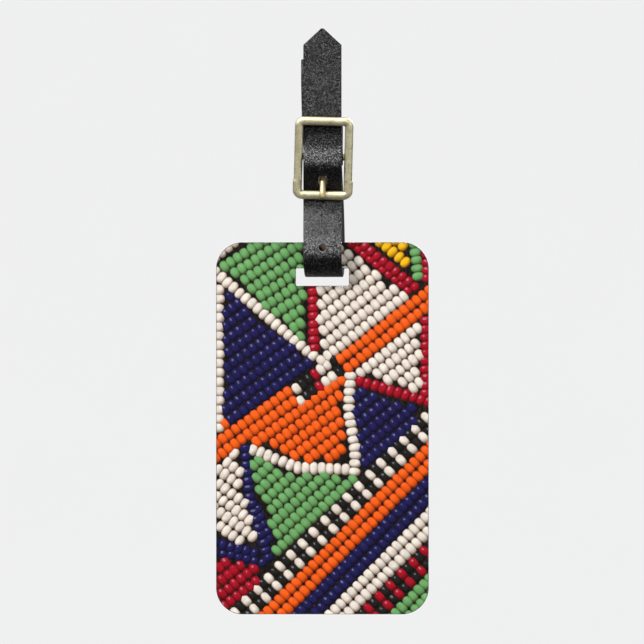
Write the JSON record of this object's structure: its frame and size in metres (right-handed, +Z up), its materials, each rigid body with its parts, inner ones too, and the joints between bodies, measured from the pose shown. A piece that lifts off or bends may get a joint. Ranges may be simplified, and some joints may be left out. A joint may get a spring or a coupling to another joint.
{
  "type": "luggage tag",
  "caption": "Flat rigid luggage tag with rounded corners and a top slot, hung in a buckled leather strap loop, with a write-on address panel on its back.",
  "frame": {"origin": "top of the strap's loop on its inner face, on the centre plane of the plate, where the tag hangs from a handle", "axes": "+Z up along the hanging tag, the printed front and the buckle face -Y, +X to the right as seen from the front"},
  "size_m": [0.0508, 0.015, 0.1397],
  "materials": {
    "leather": "black pebbled grain, satin",
    "thread": "waxed black thread",
    "antique_brass": "pale antique brass plating, satin",
    "clear_sheet": "clear gloss",
    "printed_layer": "printed all over picture of beadwork in bands and triangles",
    "white_core": "opaque white",
    "back_layer": "printed beadwork pattern in plain rows",
    "label": "matte write-on surface with ruled lines"
  },
  "bodies": {
    "strap": {"strap": "leather", "strap_stitching": "thread"},
    "buckle": {"buckle_frame": "antique_brass"},
    "prong": {"prong": "antique_brass"},
    "tag": {"front_sheet": "clear_sheet", "front_print": "printed_layer", "core": "white_core", "back_print": "back_layer", "back_sheet": "clear_sheet", "address_label": "label"}
  },
  "joints": [
    {"name": "tag_swing", "type": "hinge", "parent": "strap", "child": "tag", "pos_m": [0, 0, -0.0446], "axis": [1, 0, 0], "range_deg": [-90, 90]},
    {"name": "buckle_tilt", "type": "hinge", "parent": "strap", "child": "buckle", "pos_m": [0.00025, -0.00405, -0.022], "axis": [0.9997, 0, -0.0244], "range_deg": [-2, 2]},
    {"name": "prong_lift", "type": "hinge", "parent": "buckle", "child": "prong", "pos_m": [0.00025, -0.00405, -0.022], "axis": [-0.9997, 0, 0.0244], "range_deg": [0, 5]}
  ]
}
